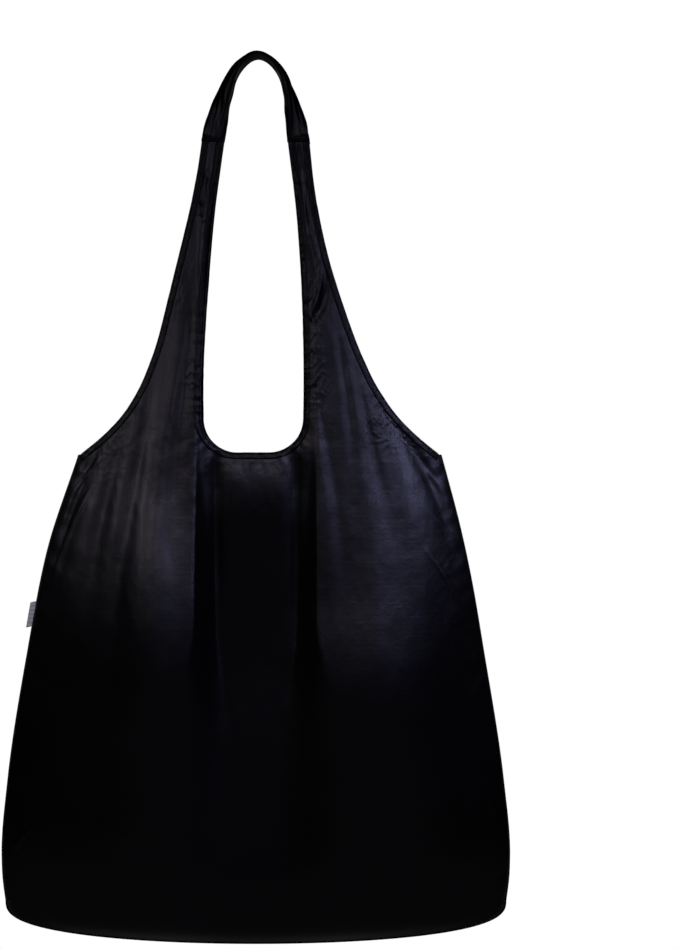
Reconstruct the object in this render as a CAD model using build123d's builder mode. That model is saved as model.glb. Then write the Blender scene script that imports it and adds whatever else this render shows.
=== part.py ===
from build123d import *
import math
import os

# Foldable tote bag of thin nylon taffeta, hanging by its two handles.
# The origin is the underside of the grips at the top of their arch, where a hand carries them.
# +Z is up, +X is to the right of someone who faces the bag's front, and the front faces -Y.
# Cloth is modelled thicker than it is, so that every piece is a closed solid.

os.makedirs("parts", exist_ok=True)

# Driving dimensions, in millimetres.
BOTTOM = -672.5
FOLD_HEIGHT = -252.0
FOLD_GAP = 1.5
TIP_X = 137.5
TIP_HEIGHT = -302.0
NECK_HALF_WIDTH = 38.5
NECK_BOTTOM = -300.0
NECK_RADIUS = 26.0
PANEL_WALL = 1.0
BINDING_WIDTH = 5.0
BINDING_PROUD = 0.4
SEAM_WIDTH = 6.0
SEAM_HALF = 0.75
SEAM_SPLIT_HEIGHT = -640.0
TACK_SIZE = 9.0
TACK_PROUD = 1.0
ARMHOLE_MIDDLE = (104.0, -274.0)
ARMHOLE_TOP = (88.0, -246.0)
BEYOND = 210.0

# The filled-out bag: height, half width and half depth, from the handles' fold down.
HULL = [
    (FOLD_HEIGHT, 122.0, 24.5),
    (TIP_HEIGHT, TIP_X, 26.0),
    (-366.0, 156.5, 35.0),
    (-457.0, 174.0, 42.0),
    (-549.0, 188.0, 46.0),
    (-606.0, 192.5, 46.0),
    (SEAM_SPLIT_HEIGHT, 189.0, 38.0),
    (-653.0, 175.0, 27.0),
    (-661.0, 145.0, 18.0),
    (-668.0, 95.0, 10.0),
    (BOTTOM, 30.0, 3.0),
]
SIDE_ROWS = HULL[1:7]
CORNER_ROWS = HULL[7:10]

# The front right strap: height, then the inner and the outer edge as x and y.
STRAP = [
    (FOLD_HEIGHT + FOLD_GAP, (38.8, -22.0), (90.0, -11.0)),
    (-207.0, (37.6, -19.0), (72.6, -11.4)),
    (-161.0, (35.0, -16.0), (59.3, -11.0)),
    (-115.0, (31.2, -13.0), (47.9, -10.0)),
    (-63.0, (24.5, -10.5), (40.2, -9.5)),
]
STRAP_THICK = 1.2
STRAP_BINDING_WIDTH = 4.0
STRAP_BINDING_THICK = 1.8
STRAP_CLEARANCE = 0.05

# The grips: the strap is folded in half and sewn, and turns flat over the hand.
GRIP_HALF = [(32.3, -60.0), (29.5, -45.0), (24.0, -25.0), (17.5, -10.0), (9.0, -1.0)]
GRIP_TOP = (0.0, 1.6)
GRIP_Y = -9.9
GRIP_WIDTH = 16.5
GRIP_THICK = 3.2
GRIP_SECTIONS = 17
GRIP_SEAM_HEIGHT = 3.0
GRIP_SEAM_DEPTH = 4.2

# The stuff pouch, which hangs inside by a tape from the left side seam.
POUCH_X = -112.0
POUCH_TOP = -342.0
POUCH_WIDTH = 42.0
POUCH_HEIGHT = 86.0
POUCH_HALF_DEPTH = 4.5
POUCH_WALL = 1.0
POUCH_RADIUS = 14.0
HEM_HEIGHT = 6.0
HEM_WIDTH = 43.0
HEM_DEPTH = 10.0
HEM_OPENING_WIDTH = 38.6
HEM_OPENING_DEPTH = 6.4
ELASTIC_INSET = 0.55
ELASTIC_THICK = 0.7
ELASTIC_HEIGHT = 4.2
CHANNEL_PLAY = 0.05
LABEL_HEIGHT = 12.0
LABEL_BOTTOM = -395.0
LABEL_THICK = 0.4
LABEL_WIDTH = 40.0
TAPE_X = -132.2
TAPE_TOP = -314.0
TAPE_WIDTH = 4.0
TAPE_THICK = 0.8

# The woven tag in the left side seam.
TAG_TOP = -412.0
TAG_HEIGHT = 20.0
TAG_ROOT_X = -171.0
TAG_LENGTH = 5.5
TAG_THICK = 0.8


def save(shape, name):
    """Label one finished piece and write it to its own file."""
    shape.label = name
    export_step(shape, f"parts/{name}.step")


def mirrored(shape, *planes):
    """A copy of a piece, mirrored across each plane in turn."""
    for plane in planes:
        with BuildPart() as copy:
            mirror(shape, about=plane)
        shape = copy.part
    return shape


# The bag's skin -------------------------------------------------------------------------


def front_hull(grow):
    """The front half of the filled-out bag, its skin moved out by grow, or in if negative."""
    with BuildPart() as hull:
        for height, half_width, half_depth in HULL:
            with BuildSketch(Plane.XY.offset(height - grow)):
                with BuildLine():
                    skin = ThreePointArc(
                        (-half_width - grow, 0),
                        (0, -half_depth - grow),
                        (half_width + grow, 0),
                    )
                    Line(skin @ 1, skin @ 0)
                make_face()
        loft(ruled=True)
    return hull.part


def front_skin(outline, proud, depth):
    """The part of the front skin inside an outline, from proud outside to depth inside."""
    with BuildPart() as skin:
        add(front_hull(proud))
        add(front_hull(-depth), mode=Mode.SUBTRACT)
        with BuildSketch(Plane.XZ):
            add(outline)
        extrude(amount=BEYOND, both=True, mode=Mode.INTERSECT)
        split(bisect_by=Plane.XZ.offset(SEAM_HALF), keep=Keep.TOP)
    return skin.part


def body_outline(inset):
    """The bag's flat outline below its side seam tops, drawn in X and Z and set in all round."""
    with BuildSketch() as outline:
        with BuildLine():
            side = Spline(*[(half_width - inset, height) for height, half_width, depth in SIDE_ROWS])
            corner = Spline(
                side @ 1,
                *[(half_width - inset, height + inset) for height, half_width, depth in CORNER_ROWS],
                (0, BOTTOM + inset),
                tangents=(side % 1, (-1, 0)),
            )
            middle = Line(corner @ 1, (0, TIP_HEIGHT))
            Line(middle @ 1, side @ 0)
        make_face()
        mirror(about=Plane.YZ)
    return outline.sketch


neck_height = 2 * (FOLD_HEIGHT - NECK_BOTTOM)
with BuildSketch() as neck_area:
    with Locations((0, NECK_BOTTOM + neck_height / 2)):
        RectangleRounded(2 * NECK_HALF_WIDTH, neck_height, NECK_RADIUS)

with BuildSketch() as neck_area_wide:
    offset(neck_area.sketch, amount=BINDING_WIDTH)

with BuildSketch() as armhole_area:
    with BuildLine():
        edge = ThreePointArc((TIP_X, TIP_HEIGHT), ARMHOLE_MIDDLE, ARMHOLE_TOP)
        Polyline(edge @ 1, (BEYOND, ARMHOLE_TOP[1]), (BEYOND, TIP_HEIGHT), edge @ 0)
    make_face()
    mirror(about=Plane.YZ)

with BuildSketch() as armhole_area_wide:
    offset(armhole_area.sketch, amount=BINDING_WIDTH)

with BuildSketch() as tack_area:
    with Locations((TIP_X - BINDING_PROUD, TIP_HEIGHT), (BINDING_PROUD - TIP_X, TIP_HEIGHT)):
        Rectangle(TACK_SIZE, TACK_SIZE)

with BuildSketch() as panel_area:
    with Locations((0, (BOTTOM + FOLD_HEIGHT) / 2)):
        Rectangle(2 * BEYOND, FOLD_HEIGHT - BOTTOM)
    add(neck_area_wide.sketch, mode=Mode.SUBTRACT)
    add(armhole_area_wide.sketch, mode=Mode.SUBTRACT)
    add(tack_area.sketch, mode=Mode.SUBTRACT)

with BuildSketch() as neck_binding_area:
    add(neck_area_wide.sketch)
    add(neck_area.sketch, mode=Mode.SUBTRACT)
    with Locations((0, FOLD_HEIGHT - neck_height / 2)):
        Rectangle(BEYOND, neck_height, mode=Mode.INTERSECT)

with BuildSketch() as armhole_binding_area:
    add(armhole_area_wide.sketch)
    add(armhole_area.sketch, mode=Mode.SUBTRACT)
    add(tack_area.sketch, mode=Mode.SUBTRACT)
    with Locations((TIP_X / 2, (FOLD_HEIGHT + TIP_HEIGHT - BINDING_WIDTH) / 2)):
        Rectangle(TIP_X, FOLD_HEIGHT - TIP_HEIGHT + BINDING_WIDTH, mode=Mode.INTERSECT)

front_panel = front_skin(panel_area.sketch, 0, PANEL_WALL)
save(front_panel, "front_panel")
save(mirrored(front_panel, Plane.XZ), "back_panel")

binding_depth = PANEL_WALL + BINDING_PROUD
neck_binding = front_skin(neck_binding_area.sketch, BINDING_PROUD, binding_depth)
save(neck_binding, "front_neck_binding")
save(mirrored(neck_binding, Plane.XZ), "back_neck_binding")

armhole_binding = front_skin(armhole_binding_area.sketch, BINDING_PROUD, binding_depth)
save(armhole_binding, "front_right_armhole_binding")
save(mirrored(armhole_binding, Plane.YZ), "front_left_armhole_binding")
save(mirrored(armhole_binding, Plane.XZ), "back_right_armhole_binding")
save(mirrored(armhole_binding, Plane.XZ, Plane.YZ), "back_left_armhole_binding")


# Seams: the allowance that joins front to back stands inside, in the plane of the sides ---


def seam(center_x, center_height, width, height):
    """The part of the seam allowance that lies in one rectangle."""
    with BuildPart() as allowance:
        with BuildSketch(Plane.XZ):
            add(body_outline(0))
            add(body_outline(SEAM_WIDTH), mode=Mode.SUBTRACT)
            add(armhole_area_wide.sketch, mode=Mode.SUBTRACT)
            add(tack_area.sketch, mode=Mode.SUBTRACT)
            with Locations((center_x, center_height)):
                Rectangle(width, height, mode=Mode.INTERSECT)
        extrude(amount=SEAM_HALF, both=True)
    return allowance.part


side_height = TIP_HEIGHT - TACK_SIZE / 2 - SEAM_SPLIT_HEIGHT
side_center = SEAM_SPLIT_HEIGHT + side_height / 2
right_seam = seam(BEYOND / 2, side_center, BEYOND, side_height)
save(right_seam, "right_side_seam")
save(mirrored(right_seam, Plane.YZ), "left_side_seam")
bottom_height = 2 * (SEAM_SPLIT_HEIGHT - BOTTOM)
save(seam(0, SEAM_SPLIT_HEIGHT - bottom_height / 2, 2 * BEYOND, bottom_height), "bottom_seam")

# A bar tack closes each side seam at its top, where the two armholes meet.
with BuildPart() as tack:
    with Locations((TIP_X - BINDING_PROUD, 0, TIP_HEIGHT)):
        Box(TACK_SIZE, 2 * (SEAM_HALF + TACK_PROUD), TACK_SIZE)
    fillet(tack.edges().filter_by(Axis.Y), TACK_SIZE / 6)
save(tack.part, "right_bar_tack")
save(mirrored(tack.part, Plane.YZ), "left_bar_tack")


# Handles ----------------------------------------------------------------------------------


def strap_strip(span, thick):
    """A strip of the front right strap; span gives its two edges from the strap's width."""
    with BuildPart() as strip:
        for height, inner, outer in STRAP:
            across = Vector(*outer) - Vector(*inner)
            start, stop = span(across.length)
            across = across.normalized()
            low = Vector(*inner) + across * start
            high = Vector(*inner) + across * stop
            proud = Vector(-across.Y, across.X) * (thick / 2)
            with BuildSketch(Plane.XY.offset(height)):
                with BuildLine():
                    Polyline(low - proud, high - proud, high + proud, low + proud, close=True)
                make_face()
        loft(ruled=True)
    return strip.part


inset = STRAP_BINDING_WIDTH + STRAP_CLEARANCE
strap = strap_strip(lambda width: (inset, width - inset), STRAP_THICK)
inner_binding = strap_strip(lambda width: (0, STRAP_BINDING_WIDTH), STRAP_BINDING_THICK)
outer_binding = strap_strip(lambda width: (width - STRAP_BINDING_WIDTH, width), STRAP_BINDING_THICK)

with BuildPart() as grip_seam:
    with Locations((GRIP_HALF[0][0], GRIP_Y, GRIP_HALF[0][1] - GRIP_SEAM_HEIGHT / 2)):
        Box(GRIP_WIDTH, GRIP_SEAM_DEPTH, GRIP_SEAM_HEIGHT)

right_pieces = {
    "strap": strap,
    "inner_binding": inner_binding,
    "outer_binding": outer_binding,
    "grip_seam": grip_seam.part,
}
for name, shape in right_pieces.items():
    save(shape, f"front_right_{name}")
    save(mirrored(shape, Plane.YZ), f"front_left_{name}")
    save(mirrored(shape, Plane.XZ), f"back_right_{name}")
    save(mirrored(shape, Plane.XZ, Plane.YZ), f"back_left_{name}")

arch_points = [(x, GRIP_Y, z) for x, z in GRIP_HALF]
arch_points += [(GRIP_TOP[0], GRIP_Y, GRIP_TOP[1])]
arch_points += [(-x, GRIP_Y, z) for x, z in reversed(GRIP_HALF)]
with BuildLine() as arch:
    Spline(*arch_points, tangents=((0, 0, 1), (0, 0, -1)))

with BuildPart() as grip:
    for step in range(GRIP_SECTIONS):
        along = step / (GRIP_SECTIONS - 1)
        center = arch.line @ along
        tangent = arch.line % along
        outward = tangent.cross(Vector(0, 1, 0))
        turn = math.radians(90) * math.sin(math.pi * along)
        across = outward * math.cos(turn) + Vector(0, 1, 0) * math.sin(turn)
        with BuildSketch(Plane(origin=center, x_dir=across, z_dir=tangent)):
            Rectangle(GRIP_WIDTH, GRIP_THICK)
    loft()
save(grip.part, "front_grip")
save(mirrored(grip.part, Plane.XZ), "back_grip")


# Stuff pouch --------------------------------------------------------------------------------

POUCH_BODY_TOP = POUCH_TOP - HEM_HEIGHT
POUCH_BODY_HEIGHT = POUCH_HEIGHT - HEM_HEIGHT

with BuildSketch() as pouch_area:
    with Locations((POUCH_X, POUCH_BODY_TOP - POUCH_BODY_HEIGHT / 2)):
        Rectangle(POUCH_WIDTH, POUCH_BODY_HEIGHT)
    fillet(pouch_area.vertices().group_by(Axis.Y)[0], POUCH_RADIUS)

with BuildSketch() as pouch_hollow_area:
    with Locations((POUCH_X, POUCH_BODY_TOP - POUCH_BODY_HEIGHT / 2)):
        Rectangle(POUCH_WIDTH - 2 * POUCH_WALL, POUCH_BODY_HEIGHT)
    with Locations((POUCH_X, POUCH_BODY_TOP - POUCH_BODY_HEIGHT)):
        Rectangle(POUCH_WIDTH, 2 * POUCH_WALL, mode=Mode.SUBTRACT)
    fillet(pouch_hollow_area.vertices().group_by(Axis.Y)[0], POUCH_RADIUS - POUCH_WALL)

with BuildPart() as pouch_wall:
    with BuildSketch(Plane.XZ):
        add(pouch_area.sketch)
    extrude(amount=POUCH_HALF_DEPTH)
    with BuildSketch(Plane.XZ):
        add(pouch_hollow_area.sketch)
    extrude(amount=POUCH_HALF_DEPTH - POUCH_WALL, mode=Mode.SUBTRACT)
save(pouch_wall.part, "pouch_front")
save(mirrored(pouch_wall.part, Plane.XZ), "pouch_back")


def hem_ring(inset, wall, height):
    """A ring that follows the hem's outside, inset from it, centred on the hem's height."""
    width = HEM_WIDTH - 2 * inset
    depth = HEM_DEPTH - 2 * inset
    low = POUCH_TOP - (HEM_HEIGHT + height) / 2
    with BuildPart() as ring:
        with BuildSketch(Plane.XY.offset(low)):
            with Locations((POUCH_X, 0)):
                RectangleRounded(width, depth, depth / 2 - 0.1)
                RectangleRounded(
                    width - 2 * wall, depth - 2 * wall, depth / 2 - wall - 0.1, mode=Mode.SUBTRACT
                )
        extrude(amount=height)
    return ring.part


with BuildPart() as hem:
    with BuildSketch(Plane.XY.offset(POUCH_BODY_TOP)):
        with Locations((POUCH_X, 0)):
            RectangleRounded(HEM_WIDTH, HEM_DEPTH, HEM_DEPTH / 2 - 0.1)
            RectangleRounded(
                HEM_OPENING_WIDTH, HEM_OPENING_DEPTH, HEM_OPENING_DEPTH / 2 - 0.1, mode=Mode.SUBTRACT
            )
    extrude(amount=HEM_HEIGHT)
    add(
        hem_ring(
            ELASTIC_INSET - CHANNEL_PLAY,
            ELASTIC_THICK + 2 * CHANNEL_PLAY,
            ELASTIC_HEIGHT + 2 * CHANNEL_PLAY,
        ),
        mode=Mode.SUBTRACT,
    )
save(hem.part, "pouch_mouth_hem")
save(hem_ring(ELASTIC_INSET, ELASTIC_THICK, ELASTIC_HEIGHT), "pouch_elastic")

with BuildPart() as label:
    with Locations((POUCH_X, -POUCH_HALF_DEPTH, LABEL_BOTTOM + LABEL_HEIGHT / 2)):
        Box(
            LABEL_WIDTH, LABEL_THICK, LABEL_HEIGHT, align=(Align.CENTER, Align.MAX, Align.CENTER)
        )
save(label.part, "pouch_label")

with BuildPart() as tape:
    with Locations((TAPE_X, 0, (TAPE_TOP + POUCH_TOP) / 2)):
        Box(TAPE_THICK, TAPE_WIDTH, TAPE_TOP - POUCH_TOP)
save(tape.part, "pouch_tape")


# Side tag -----------------------------------------------------------------------------------

with BuildPart() as tag:
    with Locations((TAG_ROOT_X - TAG_LENGTH / 2, 0, TAG_TOP - TAG_HEIGHT / 2)):
        Box(TAG_LENGTH, TAG_THICK, TAG_HEIGHT)
    fillet(tag.edges().filter_by(Axis.Z), TAG_THICK * 0.4)
save(tag.part, "side_tag")
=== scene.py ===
import math

import bmesh
import bpy
import numpy as np
from mathutils import Euler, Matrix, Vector, noise
from mathutils.bvhtree import BVHTree
from mathutils.kdtree import KDTree


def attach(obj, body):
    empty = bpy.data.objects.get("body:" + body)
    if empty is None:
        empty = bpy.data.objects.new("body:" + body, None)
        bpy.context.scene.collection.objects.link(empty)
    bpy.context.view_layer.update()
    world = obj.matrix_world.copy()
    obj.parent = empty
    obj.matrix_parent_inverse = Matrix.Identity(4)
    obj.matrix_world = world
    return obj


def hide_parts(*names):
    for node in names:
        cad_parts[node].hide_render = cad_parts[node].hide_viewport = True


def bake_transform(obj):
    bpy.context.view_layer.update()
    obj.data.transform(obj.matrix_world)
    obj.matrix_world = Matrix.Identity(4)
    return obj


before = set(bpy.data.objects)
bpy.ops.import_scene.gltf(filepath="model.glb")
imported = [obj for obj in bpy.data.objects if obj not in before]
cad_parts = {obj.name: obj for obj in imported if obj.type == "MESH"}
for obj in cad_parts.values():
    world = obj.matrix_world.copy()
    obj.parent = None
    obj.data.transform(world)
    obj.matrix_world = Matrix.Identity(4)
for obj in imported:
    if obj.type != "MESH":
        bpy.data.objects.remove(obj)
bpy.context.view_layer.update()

# Camera ---------------------------------------------------------------------------------
# It stands level with the middle of the bag and looks straight at the front panel, through
# a long lens. The bag hangs to the left of the middle of the picture.
MM = 0.001
VIEW_X = 63.5
VIEW_Z = -316.5
VIEW_HEIGHT = 721.0
LENS_MM = 120.0
SENSOR_MM = 36.0

camera_data = bpy.data.cameras.new("camera")
camera_data.lens = LENS_MM
camera_data.sensor_width = SENSOR_MM
camera_data.clip_end = 50
camera = bpy.data.objects.new("camera", camera_data)
camera.location = (VIEW_X * MM, -VIEW_HEIGHT * MM * LENS_MM / SENSOR_MM, VIEW_Z * MM)
camera.rotation_euler = Euler((math.pi / 2, 0, 0))
bpy.context.scene.collection.objects.link(camera)
bpy.context.scene.camera = camera


# Nylon taffeta --------------------------------------------------------------------------
# The body cloth is plain-woven black nylon of very fine thread, calendered on hot rollers.
# That gives it a soft, slightly blue sheen instead of a mirror gloss, and crinkles that stay.
def linear(code):
    """Turns an sRGB hex colour into linear red, green, blue and full alpha."""
    parts = [int(code[i : i + 2], 16) / 255 for i in (1, 3, 5)]
    return [p / 12.92 if p <= 0.04045 else ((p + 0.055) / 1.055) ** 2.4 for p in parts] + [1]


def node(tree, kind, settings=(), links=()):
    """Adds one shader node; settings are attributes or inputs, links go from sockets to inputs."""
    made = tree.nodes.new(kind)
    for key, value in dict(settings).items():
        if key in made.inputs:
            made.inputs[key].default_value = value
        else:
            setattr(made, key, value)
    for key, socket in dict(links).items():
        tree.links.new(socket, made.inputs[key])
    return made


def start_material(name, base, roughness, **surface):
    """A new material with its principled shader, whose fixed values go on its own sockets."""
    made = bpy.data.materials.new(name)
    made.use_nodes = True
    shader = made.node_tree.nodes["Principled BSDF"]
    shader.inputs["Base Color"].default_value = linear(base)
    shader.inputs["Roughness"].default_value = roughness
    for key, value in surface.items():
        shader.inputs[key.replace("_", " ")].default_value = value
    made.diffuse_color = linear(base)
    return made, made.node_tree, shader


def wave_scale(radian_mm):
    """The wave texture's scale for bands one radian of whose wave is so many millimetres long."""
    return 1 / (radian_mm * MM) / 20


def nylon_taffeta(name, base, light_base, crinkle_mm, gloss_tint="#e2def2"):
    """Calendered black nylon: crinkles, and a 0.12 mm weave drawn 3.8 mm wide so that it shows."""
    made, tree, shader = start_material(
        name,
        base,
        0.35,
        IOR=1.53,
        Specular_Tint=linear(gloss_tint),
        Sheen_Weight=0.02,
        Sheen_Roughness=0.45,
        Sheen_Tint=linear("#8c88b0"),
    )
    place = node(tree, "ShaderNodeTexCoord").outputs["Object"]
    threads = {"Scale": wave_scale(0.6), "Distortion": 0.4, "Detail": 1.0}
    warp = node(tree, "ShaderNodeTexWave", {"bands_direction": "X", **threads}, {"Vector": place})
    weft = node(tree, "ShaderNodeTexWave", {"bands_direction": "Z", **threads}, {"Vector": place})
    weave = node(
        tree,
        "ShaderNodeMath",
        {"operation": "MULTIPLY"},
        {0: warp.outputs["Fac"], 1: weft.outputs["Fac"]},
    )
    crinkle = node(
        tree,
        "ShaderNodeTexNoise",
        {"Scale": 1 / (crinkle_mm * MM), "Detail": 5.0, "Roughness": 0.6, "Distortion": 0.6},
        {"Vector": place},
    )
    fine = node(
        tree,
        "ShaderNodeBump",
        {"Strength": 0.10, "Distance": 0.0001},
        {"Height": weave.outputs[0]},
    )
    relief = node(
        tree,
        "ShaderNodeBump",
        {"Strength": 0.13, "Distance": 0.0012},
        {"Height": crinkle.outputs["Fac"], "Normal": fine.outputs["Normal"]},
    )
    tree.links.new(relief.outputs["Normal"], shader.inputs["Normal"])
    patch = node(
        tree,
        "ShaderNodeTexNoise",
        {"Scale": 14.0, "Detail": 3.0, "Roughness": 0.55},
        {"Vector": place},
    )
    shade = node(
        tree,
        "ShaderNodeMix",
        {"data_type": "RGBA", "A": linear(base), "B": linear(light_base)},
        {"Factor": patch.outputs["Fac"]},
    )
    tree.links.new(shade.outputs["Result"], shader.inputs["Base Color"])
    gloss = node(
        tree,
        "ShaderNodeMapRange",
        {"From Min": 0.3, "From Max": 0.7, "To Min": 0.30, "To Max": 0.35},
        {"Value": patch.outputs["Fac"]},
    )
    tree.links.new(gloss.outputs["Result"], shader.inputs["Roughness"])
    return made


body_nylon = nylon_taffeta("nylon_taffeta_calendered", "#020203", "#040405", 9.0)


# The cloth's cut ------------------------------------------------------------------------
# Front and back are cut alike, each in one piece with its two straps. These curves are the
# edges of the hanging cloth, in millimetres: heights go down from the grips' underside.
TIP_Z = -302.0
CORNER_Z = -640.0
BOTTOM_Z = -672.5
STRAP_TOP_Z = -62.0
NECK_Z = -300.0
NECK_X = 38.5
NECK_R = 26.0
BODY_HALF_X = 189.6
BOTTOM_BOW = 0.364


def smooth_line(points):
    """A smooth curve through a few (height, value) points, as a function of height."""
    heights, values = np.array(sorted(points), float).T
    slopes = np.gradient(values, heights)

    def value_at(height):
        height = np.clip(height, heights[0], heights[-1])
        low = np.clip(np.searchsorted(heights, height) - 1, 0, len(heights) - 2)
        span = heights[low + 1] - heights[low]
        t = (height - heights[low]) / span
        start, stop = values[low], values[low + 1]
        rise = (slopes[low] * (1 - t) ** 2 * t - slopes[low + 1] * t**2 * (1 - t)) * span
        return start + (stop - start) * t * t * (3 - 2 * t) + rise

    return value_at


def ease(t):
    """A soft step from 0 to 1."""
    t = np.clip(t, 0, 1)
    return t * t * (3 - 2 * t)


side_x = smooth_line(
    [(-302, 137.5), (-366, 156.5), (-457, 174), (-549, 188), (-606, 192.5), (-624, 191.7),
     (-640, BODY_HALF_X)]
)
strap_inner_x = smooth_line(
    [(-274, NECK_X), (-252, 38.8), (-207, 37.6), (-161, 35), (-115, 31.2), (-62, 24.5)]
)
strap_outer_x = smooth_line(
    [(-302, 137.5), (-290, 122), (-275, 106.5), (-252, 90.5), (-230, 80.4), (-184, 65.4),
     (-138, 53.2), (-93, 44.1), (-62, 40.2)]
)
# The straps curve toward their edges as if they were part of one wider sheet.
lens_x = smooth_line([(-62, 90), (-115, 84), (-161, 92.6), (-207, 105), (-252, 122), (-302, 137.5)])
# How far the cloth stands forward beside the side seams, and at the slack middle.
side_depth = smooth_line(
    [(-62, 10.0), (-115, 14.2), (-161, 17.8), (-207, 21.4), (-252, 25.4), (-302, 30.8), (-330, 34.0),
     (-358, 37.5), (-386, 41.0), (-414, 44.2), (-442, 46.4), (-470, 47.0), (-500, 45.8), (-549, 43.4),
     (-606, 41), (-640, 38)]
)
middle_depth = smooth_line(
    [(-62, 10.0), (-252, 17.0), (-300, 20.8), (-308, 22.2), (-320, 24.0), (-340, 25.2), (-365, 24.8),
     (-420, 22.4), (-457, 22.0), (-500, 22.4), (-549, 24.0), (-606, 26), (-640, 27)]
)
# Under each strap the load draws the cloth forward into a broad column.
column_bulge = smooth_line(
    [(-62, 0), (-262, 0), (-302, 0.6), (-330, 1.9), (-358, 3.9), (-386, 6.2), (-414, 8.6), (-442, 10.6),
     (-470, 11.3), (-500, 10.0), (-530, 7.4), (-600, 2.2), (-640, 0)]
)
# The neckline hangs a little to the left and the tips stand a little to the right.
neck_sway = smooth_line([(-62, 0), (-161, -0.8), (-275, -2.3), (-340, -1.0), (-640, 0)])
outer_sway = smooth_line(
    [(-62, 0), (-161, -1.5), (-230, 1.5), (-275, 3.0), (-302, 3.0), (-330, 2.0), (-366, 0.6),
     (-420, 0), (-640, 0)]
)


def hem_x(side, z):
    """Where the side seam is at a height, on the left (-1) or the right (1)."""
    return side * side_x(z) + outer_sway(z)


def bottom_z(x):
    """The height of the bag's bottom edge, a shallow bow with rounder corners, at each x."""
    bow = np.clip(1 - (x / BODY_HALF_X) ** 2, 0, 1) ** BOTTOM_BOW
    return CORNER_Z - (CORNER_Z - BOTTOM_Z) * bow


def even(points, count):
    """Resamples a line of points into count + 1 evenly spaced ones."""
    steps = np.linalg.norm(np.diff(points, axis=0), axis=1)
    along = np.concatenate([[0], np.cumsum(steps)])
    at = np.linspace(0, along[-1], count + 1)
    return np.stack([np.interp(at, along, points[:, i]) for i in range(points.shape[1])], axis=1)


def inner_edge(side):
    """The neckline's side from the middle of its lower corner up to the grip seam."""
    turn = np.radians(np.linspace(-45, 0, 40))
    x = NECK_X - NECK_R + NECK_R * np.cos(turn)
    arc = np.stack([x, NECK_Z + NECK_R + NECK_R * np.sin(turn)], 1)
    z = np.linspace(arc[-1, 1], STRAP_TOP_Z, 300)[1:]
    line = np.concatenate([arc, np.stack([strap_inner_x(z), z], 1)])
    return np.stack([side * line[:, 0] + neck_sway(line[:, 1]), line[:, 1]], 1)


def outer_edge(side):
    """The armhole and the strap's outer edge from the side seam's top up to the grip seam."""
    z = np.linspace(TIP_Z, STRAP_TOP_Z, 300)
    return np.stack([side * strap_outer_x(z) + outer_sway(z), z], 1)


def neck_bottom():
    """The neckline between the middles of its two lower corners, from left to right."""
    turn = np.radians(np.linspace(45, 90, 30))
    x = NECK_X - NECK_R + NECK_R * np.cos(turn)
    z = NECK_Z + NECK_R - NECK_R * np.sin(turn)
    half = np.stack([x, z], 1)
    line = np.concatenate([half * (-1, 1), half[::-1]])
    return np.stack([line[:, 0] + neck_sway(line[:, 1]), line[:, 1]], 1)


# Body cloth -----------------------------------------------------------------------------
# One piece of taffeta for the front and one for the back, each with its two straps. They are
# laid out as a grid of quads, filled out to their hanging depth and refined, and then the
# folds, gathers and wrinkles are pressed in.
STRAP_COLUMNS = 20
NECK_COLUMNS = 10
STRAP_ROWS = 44
BODY_ROWS = 60
REFINE = 2
ROUND_BOTTOM = 62.0
SLACK_HALF = 30.4
STEP_WIDE = 15.6
GROOVE_DEEP = 4.0


def cut_points():
    """The flat cut as one list of (x, z) points and the quads between them."""
    strap = {}
    for side in (-1, 1):
        inner = even(inner_edge(side), STRAP_ROWS)
        outer = even(outer_edge(side), STRAP_ROWS)
        u = np.linspace(0, 1, STRAP_COLUMNS + 1)[None, :, None]
        strap[side] = inner[:, None] * (1 - u) + outer[:, None] * u
    neck = even(neck_bottom(), NECK_COLUMNS)[1:-1]
    top = np.concatenate([strap[-1][0][::-1], neck, strap[1][0]])
    share = top[:, 0] / np.where(top[:, 0] > 0, top[-1, 0], -top[0, 0])
    low_z = bottom_z(share * BODY_HALF_X)
    w = np.linspace(0, 1, BODY_ROWS + 1)[:, None]
    z = top[None, :, 1] * (1 - w) + low_z[None] * w
    straight = np.abs(share[None]) * hem_x(np.sign(share)[None], z)
    level = np.abs(share) * hem_x(np.sign(share), top[:, 1])
    body = np.stack([straight + (1 - ease(w * 4)) * (top[:, 0] - level)[None], z], 2)
    columns = body.shape[1]
    points = [body.reshape(-1, 2)]
    index = np.arange(body.shape[0] * columns).reshape(-1, columns)
    blocks = [index[::-1]]
    count = index.size
    for side in (-1, 1):
        rows = strap[side][1:]
        rows = rows[:, ::-1] if side < 0 else rows
        points.append(rows.reshape(-1, 2))
        first = index[0, : STRAP_COLUMNS + 1] if side < 0 else index[0, -STRAP_COLUMNS - 1 :]
        above = count + np.arange(rows.shape[0] * rows.shape[1]).reshape(rows.shape[:2])
        blocks.append(np.concatenate([first[None], above]))
        count += above.size
    quads = []
    for block in blocks:
        corners = [block[:-1, :-1], block[:-1, 1:], block[1:, 1:], block[1:, :-1]]
        quads.append(np.stack([c.ravel() for c in corners], 1))
    return np.concatenate(points), np.concatenate(quads)


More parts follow.
